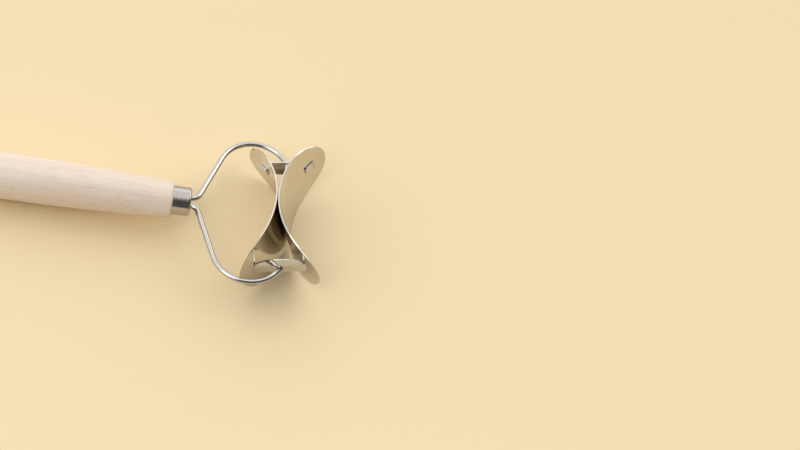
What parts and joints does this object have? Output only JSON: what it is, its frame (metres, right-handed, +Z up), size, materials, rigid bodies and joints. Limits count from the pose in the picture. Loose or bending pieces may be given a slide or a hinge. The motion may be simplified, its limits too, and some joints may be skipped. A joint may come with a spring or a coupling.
{
  "type": "round ravioli cutter",
  "caption": "Hand-held rolling cutter for round ravioli: two bent oval steel blades on a sprung wire yoke with a turned wooden handle",
  "frame": {"origin": "on the table that the tool lies on, under the middle of the tool's outline", "axes": "+X from the handle towards the roller, +Y along the roller's axle, +Z up"},
  "size_m": [0.184, 0.0764, 0.0358],
  "materials": {
    "handle_wood": "pale beech, turned and sanded, unvarnished",
    "ferrule_steel": "polished steel cup",
    "wire_steel": "polished round steel wire",
    "blade_steel": "mirror-polished stainless sheet",
    "plate_steel": "polished stainless sheet"
  },
  "bodies": {
    "handle": {"wooden_handle": "handle_wood", "ferrule": "ferrule_steel", "wire_yoke": "wire_steel"},
    "roller": {"leading_blade": "blade_steel", "trailing_blade": "blade_steel", "left_end_plate": "plate_steel", "right_end_plate": "plate_steel"}
  },
  "joints": [
    {"name": "roller_spin", "type": "hinge", "parent": "handle", "child": "roller", "pos_m": [0.07409, 0, 0.0179], "axis": [0, 1, 0], "continuous": true}
  ]
}
